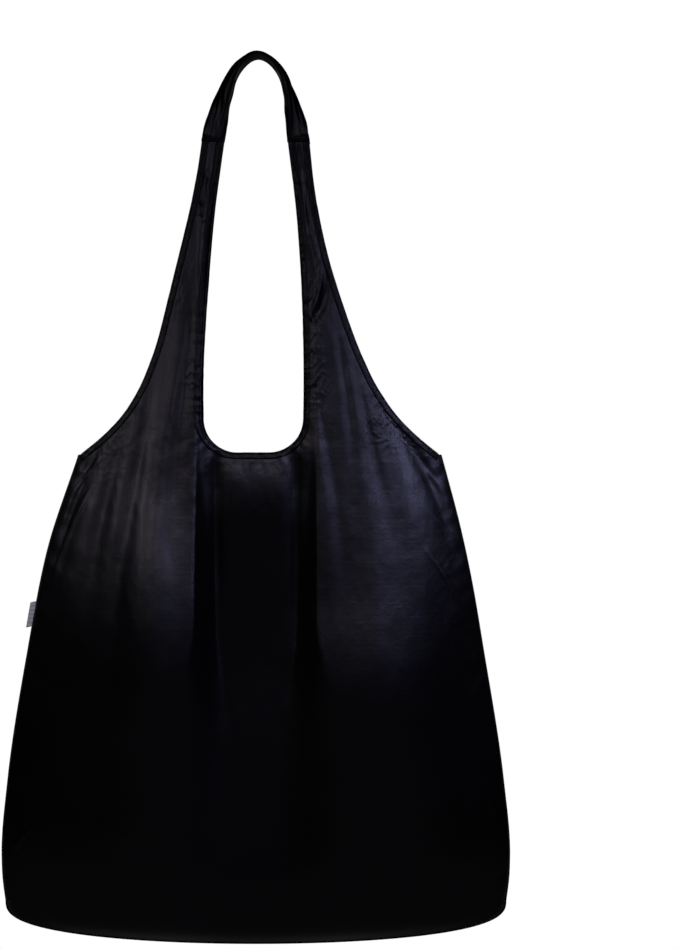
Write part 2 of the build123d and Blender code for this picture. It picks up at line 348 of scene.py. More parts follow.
def hull_depth(x, z):
    """How far the filled-out cloth stands from the plane of the side seams."""
    # It is crowned from seam to seam and rounds in over its lowest stretch.
    width = np.where(z > TIP_Z, lens_x(z), side_x(z)) + np.sign(x) * outer_sway(z)
    across = np.clip(np.abs(x) / width, 0, 1)
    crown = (1 - across**2.2) ** 0.85
    rise = np.clip((z - bottom_z(x)) / ROUND_BOTTOM, 0, 1)
    roundness = np.sqrt(np.clip(1 - (1 - rise) ** 2, 0, 1))
    # The slack middle ends in a step on each side, which widens and softens lower down.
    widen = ease((-425 - z) / 110)
    step = (np.abs(x - 0.8) - SLACK_HALF + 13 * widen) / (STEP_WIDE + 34 * widen)
    slack = 1 - np.clip(step, 0, 1) * (1 - widen) - ease(step) * widen
    # A groove runs down at the foot of each step.
    dip = GROOVE_DEEP * ease((-295 - z) / 34) * ease((z + 455) / 90)
    dip = dip * np.where(step > 0, 1 - np.clip(step, 0, 1), np.exp(-((step * 2.6) ** 2)))
    # The right side sits a little lower than the left.
    lower = z + (5 + 13 * np.tanh(x / 50)) * ease((-310 - z) / 110) * ease((z + 640) / 90)
    left_column = np.exp(-(((x + 80) / 26) ** 2))
    right_column = np.exp(-(((x - 104) / 38) ** 2))
    bulge = column_bulge(lower) * np.where(x < 0, left_column, right_column)
    depth = (side_depth(lower) * (1 - slack) + middle_depth(z) * slack) * crown + bulge
    return (depth - dip) * roundness


cut, cut_quads = cut_points()


def make_mesh(name, points, faces, material):
    """A new mesh object from points in millimetres."""
    mesh = bpy.data.meshes.new(name)
    points = np.asarray(points, float) * MM
    mesh.from_pydata(points.tolist(), [], [list(map(int, f)) for f in faces])
    mesh.validate()
    mesh.shade_smooth()
    mesh.materials.append(material)
    made = bpy.data.objects.new(name, mesh)
    bpy.context.scene.collection.objects.link(made)
    return made


def get_points(piece):
    """A mesh object's points in millimetres."""
    found = np.empty(len(piece.data.vertices) * 3)
    piece.data.vertices.foreach_get("co", found)
    return found.reshape(-1, 3) / MM


def set_points(piece, points):
    """Moves a mesh object's points, given in millimetres."""
    piece.data.vertices.foreach_set("co", (points * MM).ravel())
    piece.data.update()


def apply_modifiers(piece):
    """Keeps what the modifiers make of a piece as its own mesh."""
    graph = bpy.context.evaluated_depsgraph_get()
    final = bpy.data.meshes.new_from_object(piece.evaluated_get(graph), depsgraph=graph)
    piece.modifiers.clear()
    piece.data = final


def body_cloth(name, facing):
    """One side's cloth at rest; facing is -1 for the front and 1 for the back."""
    x, z = cut[:, 0], cut[:, 1]
    y = facing * hull_depth(x, z)
    faces = cut_quads if facing < 0 else cut_quads[:, ::-1]
    return make_mesh(name, np.stack([x, y, z], 1), faces, body_nylon)


def refine(piece):
    """Divides each quad of a cloth along smooth curves."""
    finer = piece.modifiers.new("finer", "SUBSURF")
    finer.levels = finer.render_levels = REFINE
    finer.boundary_smooth = "PRESERVE_CORNERS"
    apply_modifiers(piece)
    piece.data.shade_smooth()


# Folds and creases: half width, height out of the cloth, and the points the line runs through.
LEFT_FOLDS = [
    (6.5, -1.2, [(-70, -205), (-86, -296), (-94, -346), (-103, -407), (-106, -455)]),
    (15.0, 2.0, [(-57, -180), (-67, -270), (-75, -315), (-81, -382), (-83, -470)]),
    (11.0, 1.3, [(-80, -235), (-101, -331), (-112, -382), (-122, -465)]),
    (7.0, -0.8, [(-99, -278), (-117, -356), (-127, -440)]),
    (12.0, 1.1, [(-104, -276), (-130, -366), (-144, -450)]),
    (5.0, -0.9, [(-93, -262), (-122, -300), (-140, -345), (-152, -410)]),
    (6.0, -1.0, [(-44, -160), (-52, -240), (-58, -298), (-62, -385)]),
    (6.0, -1.2, [(-40, -270), (-40, -310), (-38.5, -351), (-38, -440)]),
]
RIGHT_FOLDS = [
    (6.0, -1.2, [(42, -272), (42, -315), (40, -351), (39, -440)]),
    (10.5, 0.9, [(42, -190), (50, -296), (60, -366), (64, -505)]),
    (6.0, -1.0, [(42, -200), (51, -280), (56, -306), (63, -356), (67, -470)]),
    (4.0, -0.6, [(60, -195), (70.5, -270), (76, -325)]),
    (19.0, 1.3, [(60, -190), (80, -305), (92, -368), (101, -500)]),
    (4.5, -0.6, [(72, -222), (90, -305), (105, -375)]),
    (17.0, 1.7, [(86, -250), (117, -343), (136, -460)]),
    (6.0, -1.3, [(96, -266), (132, -321), (156, -395)]),
    (4.5, -1.0, [(108, -280), (146, -336), (162, -405)]),
]
FRONT_CREASES = [
    (6.0, 0.7, [(27, -335), (27, -400), (26, -480)]),
    (1.7, 1.0, [(126, -370), (140, -388), (156, -420)]),
    (1.7, 0.9, [(128, -340), (146, -360), (162, -392)]),
    (2.2, 1.2, [(124, -308), (140, -326), (156, -356)]),
    (1.6, 1.0, [(158, -440), (172, -470), (178, -500)]),
    (2.4, 1.3, [(170, -556), (182, -570), (190, -592)]),
    (2.0, -1.0, [(172, -548), (184, -566), (190, -582)]),
    (2.4, 1.0, [(-114, -300), (-138, -330), (-150, -362)]),
    (1.8, 0.9, [(-120, -318), (-136, -348), (-152, -392)]),
    (1.6, 0.8, [(-146, -372), (-156, -405)]),
    (2.0, 1.2, [(-184, -572), (-187, -596), (-189, -625)]),
    (1.6, 1.1, [(-166, -580), (-176, -590), (-186, -604)]),
    (2.2, 1.1, [(51, -150), (47.5, -180), (38, -208)]),
    (3.6, -1.5, [(55, -164), (51, -188), (42, -206)]),
    (1.6, 0.8, [(-44, -108), (-40, -122)]),
    (3.4, -0.7, [(-30, -84), (-34, -130), (-39, -200), (-42, -255)]),
    (2.4, 0.9, [(-34.5, -84), (-38, -130), (-44, -190)]),
    (2.2, -1.0, [(-37, -84), (-41, -112)]),
    (4.6, -1.1, [(30, -58), (31, -76), (33, -104)]),
    (2.4, 1.0, [(36, -84), (42, -130), (49, -165)]),
]


def fold_height(x, z, folds):
    """The sum of folds: each follows its curved line, fades at its ends and is round across."""
    total = np.zeros_like(x)
    for half_width, height, line in folds:
        path = smooth_line([(b, a) for a, b in line])
        high, low = line[0][1], line[-1][1]
        along = (high - z) / (high - low)
        slope = (path(z - 2) - path(z + 2)) / 4
        across = (x - path(z)) / np.sqrt(1 + slope**2)
        spread = half_width * (0.55 + 0.6 * np.clip(along, 0, 1))
        fade = ease((along + 0.05) / 0.5) * (1 - ease((along - 0.62) / 0.46))
        total += height * fade * np.exp(-((across / spread) ** 2))
    return total


def noise_field(x, z, wide, tall, seed):
    """Smooth repeatable noise over the cloth, its features so many millimetres wide and tall."""
    return np.array([noise.noise((a / wide, b / tall, seed)) for a, b in zip(x, z)])


def edge_lines():
    """The sewn edges of either side's cloth as (x, z) lines."""
    lines = {"neck": np.concatenate([inner_edge(-1)[::-1], neck_bottom()[1:-1], inner_edge(1)])}
    for side, word in ((-1, "left"), (1, "right")):
        lines[word] = outer_edge(side)
    return lines


def pucker(points, seed):
    """Fine gathers where the hems draw the cloth up: they run in from the edge and die out."""
    x, z = points[:, 0], points[:, 2]
    total = np.zeros(len(x))
    for number, (word, line) in enumerate(edge_lines().items()):
        line = even(line, 700)
        tree = KDTree(len(line))
        for i, (a, b) in enumerate(line):
            tree.insert((a, b, 0), i)
        tree.balance()
        step = np.linalg.norm(line[1] - line[0])
        near = np.array([tree.find((a, b, 0))[1:] for a, b in zip(x, z)])
        s, away = near[:, 0] * step, near[:, 1]
        wave = noise_field(s, away, 3.6, 34.0, seed + number)
        coarse = noise_field(s, away, 9.0, 60.0, seed + 7 + number)
        total += 0.45 * wave * np.exp(-away / 4.0) + 0.28 * coarse * np.exp(-away / 7.0)
        if word == "neck":
            below = ease((NECK_Z + 14 - z) / 10)
            gathers = 1.3 * coarse * np.exp(-away / 16.0) + 0.7 * wave * np.exp(-away / 9.0)
            total += below * gathers
    return total


def seam_pucker(points, seed):
    """The gathers along the side seams and the bottom seam."""
    x, z = points[:, 0], points[:, 2]
    away = np.clip(side_x(z) + np.sign(x) * outer_sway(z) - np.abs(x), 0, None)
    away = np.minimum(away, np.clip(z - bottom_z(x), 0, None))
    along = z - np.sign(x) * x * 0.6
    wave = noise_field(along, away, 11.0, 50.0, seed)
    return 0.8 * wave * np.exp(-away / 10.0) * (z < TIP_Z) * ease(away / 3.0)


# Places where the cloth is crushed into small wrinkles: x, z, reach across, reach down, height.
FRONT_CRUSHED = [
    (42, -196, 8, 34, 0.9), (44, -248, 9, 16, 1.1), (-46, -238, 6, 12, 1.0),
    (-37, -120, 6, 40, 0.5), (118, -284, 26, 18, 0.8), (96, -256, 10, 24, 0.7),
    (46, -112, 8, 26, 0.5), (-118, -300, 22, 16, 0.6), (0, -308, 40, 10, 0.6),
    (150, -385, 14, 40, 0.5), (-60, -170, 6, 24, 0.4), (170, -480, 10, 40, 0.35),
]


def crush(x, z, places, seed):
    """Sharp little wrinkles that cross each other, kept to the given places."""
    total = np.zeros_like(x)
    for number, (cx, cz, wide, tall, height) in enumerate(places):
        far = ((x - cx) / wide) ** 2 + ((z - cz) / tall) ** 2
        near = np.flatnonzero(far < 6)
        for i in near:
            bend = 2.2 * noise.noise((x[i] / 11.0, z[i] / 9.0, seed + number + 40))
            spot = ((x[i] + bend) / 5.0, (z[i] + 1.6 * bend) / 7.5, seed + number)
            fold = max(0.0, 0.5 - abs(noise.noise(spot)) * 2.6)
            grain = 0.16 * noise.noise((x[i] / 2.6, z[i] / 3.4, seed))
            total[i] += height * math.exp(-far[i]) * (fold + grain)
    return total


def finish_cloth(piece, facing, folds, seed):
    """Presses folds, creases, gathers and a faint crumple into the refined cloth."""
    points = get_points(piece)
    x, z = points[:, 0], points[:, 2]
    crisp = ease((z - CORNER_Z) / 60)
    points[:, 1] = facing * (np.abs(points[:, 1]) * (1 - crisp) + hull_depth(x, z) * crisp)
    rim = np.abs(points[:, 1])
    inside = ease((side_x(np.minimum(z, TIP_Z)) - np.abs(x)) / 14.0)
    inside = np.where(z > TIP_Z + 12, 1.0, inside)
    shape = fold_height(x, z, folds) + noise_field(x, z * 0.6, 46.0, 46.0, seed)
    shape += 0.25 * noise_field(x * 1.7, z * 0.7, 20.0, 20.0, seed + 3)
    shape += 0.10 * noise_field(x * 1.4, z * 0.6, 6.5, 6.5, seed + 9) * ease((z + 620) / 260)
    shape += crush(x * -facing, z, FRONT_CRUSHED, seed + 5)
    gathers = pucker(points, seed + 11)
    points[:, 1] += facing * (
        shape * inside * ease(rim / 8.0) + gathers + seam_pucker(points, seed + 29)
    )
    set_points(piece, points)


front_cloth = body_cloth("front_cloth", -1)
back_cloth = body_cloth("back_cloth", 1)
for piece in (front_cloth, back_cloth):
    refine(piece)
front_folds = LEFT_FOLDS + RIGHT_FOLDS + FRONT_CREASES
back_folds = [(w, h, [(-a, b) for a, b in line]) for w, h, line in LEFT_FOLDS + RIGHT_FOLDS]
finish_cloth(front_cloth, -1, front_folds, 1.0)
finish_cloth(back_cloth, 1, back_folds, 41.0)

for word, piece in (("front", front_cloth), ("back", back_cloth)):
    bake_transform(piece)
    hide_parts(f"{word}_panel", f"{word}_left_strap", f"{word}_right_strap")


# Edge binding ---------------------------------------------------------------------------
# The neckline, the armholes and both edges of every strap are bound with a 5 mm strip of the
# same nylon, folded over the raw edge and sewn down. The seam draws it up into small gathers.
BINDING_STEP = 0.9
BINDING_PROFILE = [
    (-0.4, 0.0), (-0.15, 0.40), (0.7, 0.62), (2.2, 0.66), (3.4, 0.48), (4.3, 0.58), (4.9, 0.34),
    (5.1, -0.1), (4.4, -0.45), (3.4, -0.40), (2.2, -0.55), (0.7, -0.5), (-0.15, -0.35),
]

binding_nylon = nylon_taffeta("nylon_binding_doubled", "#020203", "#040405", 4.0, "#a9a6b4")


def make_tube(name, rings, material, closed=False):
    """A closed skin through rings of points; open runs of rings get end caps."""
    count, size = rings.shape[:2]
    index = np.arange(count * size).reshape(count, size)
    after = np.roll(index, -1, axis=0) if closed else index[1:]
    before = index if closed else index[:-1]
    corners = [before, np.roll(before, -1, 1), np.roll(after, -1, 1), after]
    faces = np.stack([c.ravel() for c in corners], 1).tolist()
    if not closed:
        faces += [index[0][::-1].tolist(), index[-1].tolist()]
    return make_mesh(name, rings.reshape(-1, 3), faces, material)


def fix_normals(piece):
    """Turns every face of a closed piece outward."""
    shape = bmesh.new()
    shape.from_mesh(piece.data)
    bmesh.ops.recalc_face_normals(shape, faces=shape.faces)
    shape.to_mesh(piece.data)
    shape.free()
    piece.data.update()


def cloth_skin(piece):
    """A search tree of a cloth, to lay other pieces on it."""
    verts = [tuple(p) for p in get_points(piece)]
    return BVHTree.FromPolygons(verts, [tuple(f.vertices) for f in piece.data.polygons])


def lay_on(skin, facing, x, z):
    """The point of the cloth seen straight on at x, z, and the way it faces there."""
    hit, normal = skin.ray_cast(Vector((x, facing * 400, z)), Vector((0, -facing, 0)))[:2]
    if hit is None:
        hit, normal = skin.find_nearest(Vector((x, facing * 8, z)))[:2]
    if normal.y * facing < 0:
        normal = -normal
    return np.array(hit), np.array(normal)


def blur(rows, reach):
    """Smooths rows of values along their first axis."""
    kernel = np.hanning(2 * reach + 3)[1:-1]
    kernel /= kernel.sum()
    wide = np.concatenate([np.repeat(rows[:1], reach, 0), rows, np.repeat(rows[-1:], reach, 0)])
    return np.stack([np.convolve(wide[:, i], kernel, "valid") for i in range(rows.shape[1])], 1)


def unit(rows):
    """Rows scaled to length one."""
    return rows / np.maximum(np.linalg.norm(rows, axis=-1, keepdims=True), 1e-9)


def edge_frame(skin, facing, line, hand, offsets):
    """Lines on the cloth beside its edge at each offset, and the edge's smoothed normals."""
    steps = np.linalg.norm(np.diff(line, axis=0), axis=1).sum()
    line = even(line, int(steps / BINDING_STEP))
    way = unit(blur(np.gradient(line, axis=0), 3))
    inward = np.stack([way[:, 1], -way[:, 0]], 1) * hand
    rails, normals = [], []
    for offset in offsets:
        spot = line + inward * max(offset, 0.4)
        found = [lay_on(skin, facing, a, b) for a, b in spot]
        rails.append(np.array([f[0] for f in found]))
        normals.append(np.array([f[1] for f in found]))
    return rails, unit(blur(np.mean(normals, axis=0), 4))


def bind_edge(name, skin, facing, line, hand, seed):
    """A folded strip sewn over one edge of the cloth."""
    rails, normal = edge_frame(skin, facing, line, hand, (0.5, 4.6))
    lip, inner = (blur(r, 2) for r in rails)
    across = inner - lip
    rings = []
    for i in range(len(lip)):
        s = i * BINDING_STEP
        gather = 1 + 0.16 * noise.noise((s / 2.1, seed, 0.3))
        gather += 0.12 * noise.noise((s / 7.0, seed, 4.3))
        wave = 0.14 * noise.noise((s / 2.8, seed, 9.1))
        ring = []
        for a, h in BINDING_PROFILE:
            roll = 0.03 * max(4.4 - a, 0) ** 2
            lift = h * gather + wave * (a < 3) - roll
            ring.append(lip[i] + across[i] * (a - 0.5) / 4.1 + normal[i] * lift)
        rings.append(ring)
    piece = make_tube(name, np.array(rings), binding_nylon)
    fix_normals(piece)
    return piece


EDGE_HANDS = {"neck": 1, "left": 1, "right": -1}
skins = {"front": cloth_skin(front_cloth), "back": cloth_skin(back_cloth)}
for word, facing in (("front", -1), ("back", 1)):
    for number, (edge, line) in enumerate(edge_lines().items()):
        title = f"{word}_neck_strip" if edge == "neck" else f"{word}_{edge}_armhole_strip"
        piece = bind_edge(title, skins[word], facing, line, EDGE_HANDS[edge], 3.7 * number + facing)
        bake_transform(piece)
        if edge == "neck":
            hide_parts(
                f"{word}_neck_binding",
                f"{word}_left_inner_binding",
                f"{word}_right_inner_binding",
            )
        else:
            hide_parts(f"{word}_{edge}_armhole_binding", f"{word}_{edge}_outer_binding")


# Stitching -----------------------------------------------------------------------------
# Black spun-polyester thread, 0.35 mm thick, in lockstitch with 8 stitches to 20 mm. It runs
# along every binding and in two rows across each grip seam.
THREAD_MM = 0.35
STITCH_MM = 2.5
STITCH_INSET_MM = 3.4


def ribbed_material(name, base, roughness, ribs, relief, light=None, **surface):
    """Thread or narrow woven goods, with raised ribs that may also be of a lighter colour."""
    made, tree, shader = start_material(name, base, roughness, **surface)
    place = node(tree, "ShaderNodeTexCoord").outputs["Object"]
    direction, radian_mm, distortion, detail = ribs
    ribs = node(
        tree,
        "ShaderNodeTexWave",
        {"bands_direction": direction, "Scale": wave_scale(radian_mm),
         "Distortion": distortion, "Detail": detail},
        {"Vector": place},
    )
    strength, height_mm = relief
    relief = node(
        tree,
        "ShaderNodeBump",
        {"Strength": strength, "Distance": height_mm * MM},
        {"Height": ribs.outputs["Fac"]},
    )
    tree.links.new(relief.outputs["Normal"], shader.inputs["Normal"])
    if light:
        tint = node(
            tree,
            "ShaderNodeMix",
            {"data_type": "RGBA", "A": linear(base), "B": linear(light)},
            {"Factor": ribs.outputs["Fac"]},
        )
        tree.links.new(tint.outputs["Result"], shader.inputs["Base Color"])
    return made


# Spun polyester is dull. Its plies are drawn as slanting ridges, coarser than real ones.
polyester_thread = ribbed_material(
    "polyester_thread", "#121216", 0.62, ("DIAGONAL", 0.5, 0.6, 2.0), (0.5, 0.08), Sheen_Weight=0.06
)


def thread_faces(first, rings, sides):
    """The faces of one short thread: a skin over rings of points, and its two ends."""
    faces = []
    for k in range(rings - 1):
        a = first + sides * k
        b = a + sides
        faces += [[a + j, a + (j + 1) % sides, b + (j + 1) % sides, b + j] for j in range(sides)]
    last = first + sides * (rings - 1)
    faces.append([first + j for j in reversed(range(sides))])
    faces.append([last + j for j in range(sides)])
    return faces


def sew(rows):
    """Rows of stitches on lines of points with normals, as points and faces of small tubes."""
    points, faces = [], []
    sides = 6
    turns = np.linspace(0, 2 * math.pi, sides, endpoint=False)
    lift = (-0.10, 0.12, 0.12, -0.10)
    girth = np.array([0.45, 1, 1, 0.45]) * THREAD_MM * 0.5
    for line, normal, pitch in rows:
        steps = np.linalg.norm(np.diff(line, axis=0), axis=1)
        along = np.concatenate([[0], np.cumsum(steps)])
        for number in range(int(along[-1] / pitch)):
            at = (number + np.array([0.06, 0.28, 0.72, 0.94])) * pitch
            spine = np.stack([np.interp(at, along, line[:, i]) for i in range(3)], 1)
            up = unit(np.stack([np.interp(at, along, normal[:, i]) for i in range(3)], 1))
            way = unit((spine[-1] - spine[0])[None])[0]
            side = unit(np.cross(up, way))
            faces += thread_faces(len(points) * sides, 4, sides)
            for k in range(4):
                ring = spine[k] + up[k] * lift[k] + girth[k] * (
                    np.cos(turns)[:, None] * side[k] + np.sin(turns)[:, None] * up[k]
                )
                points.append(ring)
    return np.concatenate(points), faces


def binding_rows(word, facing):
    """The stitch line beside each bound edge of one face."""
    rows = []
    for edge, line in edge_lines().items():
        hand = EDGE_HANDS[edge]
        rails, normal = edge_frame(skins[word], facing, line, hand, (STITCH_INSET_MM,))
        rows.append((blur(rails[0], 2) + normal * 0.46, normal, STITCH_MM))
    return rows


# Grips ---------------------------------------------------------------------------------
# Above the grip seams each strap goes on as a tube of doubled nylon, turned a quarter round
# where it passes over the hand. The cloth rolls up lengthwise there into narrow folds.
GRIP_Y = 9.9
# The grip's middle line from left to right: x, z, width, thickness and turn in degrees.
grip_line = [
    (-32.3, -62, 16.6, 3.0, 0), (-30.4, -52, 16.2, 3.4, 8), (-27.6, -40, 14.6, 4.0, 22),
    (-24.0, -28, 12.6, 4.6, 38), (-19.8, -17, 11.6, 4.8, 55), (-13.8, -7.5, 11.5, 4.4, 72),
    (-6.8, -1.0, 12.5, 3.8, 84), (0.8, 1.7, 13.2, 3.6, 90), (9.0, -0.6, 13.0, 3.6, 92),
    (16.6, -7.2, 12.0, 3.8, 84), (22.0, -16.0, 10.8, 4.2, 70), (25.2, -27, 11.6, 4.4, 50),
    (28.4, -40, 14.2, 4.0, 26), (30.8, -52, 16.2, 3.4, 8), (32.1, -62, 16.6, 3.0, 0),
]


def spline_rows(rows, count):
    """Evenly spaced rows on a smooth curve through the given rows."""
    rows = np.array(rows, float)
    t = np.arange(len(rows))
    columns = [smooth_line(list(zip(t, rows[:, i]))) for i in range(rows.shape[1])]
    fine = np.linspace(0, len(rows) - 1, count * 4)
    dense = np.stack([c(fine) for c in columns], 1)
    steps = np.linalg.norm(np.diff(dense[:, :2], axis=0), axis=1)
    along = np.concatenate([[0], np.cumsum(steps)])
    at = np.linspace(0, along[-1], count)
    return np.stack([np.interp(at, along, dense[:, i]) for i in range(dense.shape[1])], 1)


def make_grip(name, facing, seed):
    """One grip as a flattened, folded and turned tube."""
    rows = spline_rows(grip_line, 190)
    way = unit(np.gradient(rows[:, :2], axis=0))
    around = np.linspace(0, 2 * math.pi, 56, endpoint=False)
    rings = []
    for i, (x, z, wide, thick, turn) in enumerate(rows):
        centre = np.array([x, facing * GRIP_Y, z])
        flat = np.array([way[i, 1], 0, -way[i, 0]])
        up = np.array([0, float(facing), 0])
        angle = math.radians(turn)
        a_axis = flat * math.cos(angle) + up * math.sin(angle)
        b_axis = up * math.cos(angle) - flat * math.sin(angle)
        middle = ease(min(i, len(rows) - 1 - i) / 22)
        ring = []
        for t in around:
            c, s = math.cos(t), math.sin(t)
            a = np.sign(c) * abs(c) ** 0.75 * wide / 2
            b = np.sign(s) * abs(s) ** 0.85 * thick / 2
            face_seed = seed + (0 if s > 0 else 5)
            groove = noise.noise((a / 2.3, i / 38.0, face_seed))
            fine = noise.noise((a / 1.1, i / 26.0, face_seed + 9))
            folds = (1.5 * groove + 0.5 * fine) * (0.35 + 0.65 * middle)
            b += np.sign(s) * abs(s) ** 0.4 * folds
            a += 0.5 * noise.noise((t, i / 14.0, seed + 20))
            ring.append(centre + a_axis * a + b_axis * b)
        rings.append(ring)
    piece = make_tube(name, np.array(rings), body_nylon)
    fix_normals(piece)
    return piece


for word, facing in (("front", -1), ("back", 1)):
    piece = make_grip(f"{word}_grip_tube", facing, 2.0 + facing)
    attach(piece, f"{word}_handle")
    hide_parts(f"{word}_grip")


# Grip seams ----------------------------------------------------------------------------
# Where strap and grip meet, both ends are folded in and sewn flat with two rows of stitches.
SEAM_STITCH_MM = 1.8
# The two rows of stitches: their share of the band's height, and where that is.
SEAM_STITCHES = ((0.28, -62.8), (0.74, -60.1))


def seam_middle(facing, side, z):
    """The middle of a grip seam's slightly leaning band at a height."""
    return side * (32.3 - 0.19 * (z + 60)), facing * (9.7 - 0.03 * (z + 60))


def make_grip_seam(name, facing, side, seed):
    """The doubled, slightly thicker band of one grip seam, pressed in under its stitches."""
    high, low, wide, thick = -58.6, -64.4, 16.2, 3.6
    around = np.linspace(0, 2 * math.pi, 44, endpoint=False)
    rings = []
    for level in np.linspace(0, 1, 15):
        z = low + (high - low) * level
        swell = 0.80 + 0.20 * math.sin(math.pi * level) ** 0.5
        dip = sum(0.25 * math.exp(-(((level - row) / 0.06) ** 2)) for row, _ in SEAM_STITCHES)
        middle_x, middle_y = seam_middle(facing, side, z)
        ring = []
        for t in around:
            c, s = math.cos(t), math.sin(t)
            a = np.sign(c) * abs(c) ** 0.5 * wide / 2
            b = np.sign(s) * abs(s) ** 0.6 * thick / 2 * swell
            b += 0.30 * noise.noise((a / 1.8, z / 6.0, seed)) * s
            b -= np.sign(s) * dip * abs(s) ** 0.3
            ring.append((middle_x + a, middle_y + b, z))
        rings.append(ring)
    piece = make_tube(name, np.array(rings), binding_nylon)
    fix_normals(piece)
    return piece


def seam_rows(facing):
    """The two stitch rows across each grip seam of one face, outside and inside."""
    rows = []
    for side in (-1, 1):
        for _, z in SEAM_STITCHES:
            middle_x, middle_y = seam_middle(facing, side, z)
            for out in (-1, 1):
                x = np.linspace(-7.2, 7.2, 30) + middle_x
                y = np.full_like(x, middle_y + out * 1.72)
                line = np.stack([x, y, np.full_like(x, z)], 1)
                normal = np.tile([0, float(out), 0], (len(x), 1))
                rows.append((line, normal, SEAM_STITCH_MM))
    return rows


for word, facing in (("front", -1), ("back", 1)):
    for side, hand in ((-1, "left"), (1, "right")):
        piece = make_grip_seam(f"{word}_{hand}_grip_join", facing, side, 3.0 * side + facing)
        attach(piece, f"{word}_handle")
        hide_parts(f"{word}_{hand}_grip_seam")
    points, faces = sew(binding_rows(word, facing) + seam_rows(facing))
    piece = make_mesh(f"{word}_edge_stitches", points, faces, polyester_thread)
    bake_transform(piece)


# Side and bottom seams -----------------------------------------------------------------
# Front and back are sewn together inside out. The 6 mm allowance stands inside the bag,
# trimmed and overlocked, and outside only a fine ridge shows where the two cloths turn in.
ALLOWANCE_MM = 6.0
ALLOWANCE_STEP = 1.3
# The allowance shows the taffeta's duller inner face. Its overlocked ridges are drawn 9 mm apart.
overlocked_allowance = ribbed_material(
    "overlocked_allowance", "#0b0b0e", 0.6, ("Z", 1.4, 1.2, 2.0), (0.35, 0.3), Sheen_Weight=0.05
)
ALLOWANCE_PROFILE = [
    (-0.7, 0.0), (-0.45, 0.42), (0.2, 0.62), (1.2, 0.55), (4.6, 0.45), (5.6, 0.62), (6.1, 0.4),
    (6.2, 0.0), (6.1, -0.4), (5.6, -0.62), (4.6, -0.45), (1.2, -0.55), (0.2, -0.62), (-0.45, -0.42),
]


def outline_run(part):
    """The line in the middle plane where front and back are sewn together."""
    if part == "bottom":
        x = BODY_HALF_X * np.cos(np.linspace(math.pi, 2 * math.pi, 600))
        line = np.stack([x, bottom_z(x)], 1)
    else:
        z = np.linspace(TIP_Z, CORNER_Z, 300)
        line = np.stack([hem_x(-1 if part == "left" else 1, z), z], 1)
    return line


def make_seam(name, part, seed):
    """One run of the sewn allowance with its outer ridge."""
    line = outline_run(part)
    steps = np.linalg.norm(np.diff(line, axis=0), axis=1).sum()
    line = even(line, int(steps / ALLOWANCE_STEP))
    way = unit(np.gradient(line, axis=0))
    hand = {"left": -1, "right": 1, "bottom": -1}[part]
    inward = np.stack([way[:, 1], -way[:, 0]], 1) * hand
    rings = []
    for i, (x, z) in enumerate(line):
        s = i * ALLOWANCE_STEP
        gather = 1 + 0.4 * noise.noise((s / 2.4, seed, 0))
        wander = 1.6 * noise.noise((s / 26.0, seed, 3)) + 0.5 * noise.noise((s / 6.0, seed, 5))
        ring = []
        for a, h in ALLOWANCE_PROFILE:
            lean = wander * max(a, 0) / ALLOWANCE_MM
            ring.append((x + inward[i, 0] * a, h * gather + lean, z + inward[i, 1] * a))
        rings.append(ring)
    piece = make_tube(name, np.array(rings), overlocked_allowance)
    fix_normals(piece)
    return piece


for part, old, seed in (
    ("left", "left_side_seam", 1.5),
    ("right", "right_side_seam", 6.5),
    ("bottom", "bottom_seam", 11.5),
):
    piece = make_seam(f"{part}_sewn_allowance", part, seed)
    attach(piece, "bag")
    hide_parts(old)


# Bar tacks -----------------------------------------------------------------------------
# A dense zigzag of thread at the top of each side seam keeps it from tearing open.
TACK_MM = 7.0


def make_bar_tack(name, side, seed):
    """A thread laid to and fro over the top of a side seam, round both faces."""
    crossings = 44
    route = []
    for i in range(crossings + 1):
        z = TIP_Z + 0.6 - i * TACK_MM / crossings
        reach = 4.2 + 0.35 * noise.noise((i * 0.7, seed, 0))
        x = hem_x(side, z) - side * (reach if i % 2 == 0 else -0.4)
        route.append((float(x), float(z)))
    sides = 7
    around = np.linspace(0, 2 * math.pi, sides, endpoint=False)
    points, faces = [], []
    for out in (-1, 1):
        for (x0, z0), (x1, z1) in zip(route, route[1:]):
            faces += thread_faces(len(points), 3, sides)
            for t in (0, 0.5, 1):
                x, z = x0 + (x1 - x0) * t, z0 + (z1 - z0) * t
                y = out * (1.0 + 0.35 * math.sin(math.pi * t))
                for turn in around:
                    points.append((x, y + 0.2 * math.cos(turn), z + 0.2 * math.sin(turn)))
    piece = make_mesh(name, points, faces, polyester_thread)
    fix_normals(piece)
    return piece


for side, hand in ((-1, "left"), (1, "right")):
    piece = make_bar_tack(f"{hand}_tack_thread", side, 2.0 * side)
    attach(piece, "bag")
    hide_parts(f"{hand}_bar_tack")


# Side tag ------------------------------------------------------------------------------
# A white woven label, folded in half and caught in the left side seam. It carries no words.
TAG_MM = 5.5
# Polyester satin is white and has a soft shine. Its ribs are drawn 3 mm apart so that they show.
label_satin = ribbed_material(
    "label_satin_woven",
    "#e8e8ea",
    0.48,
    ("Z", 0.5, 0.5, 2.0),
    (0.4, 0.1),
    "#c9c9cc",
    Sheen_Weight=0.2,
    Sheen_Roughness=0.4,
    Specular_IOR_Level=0.4,
)


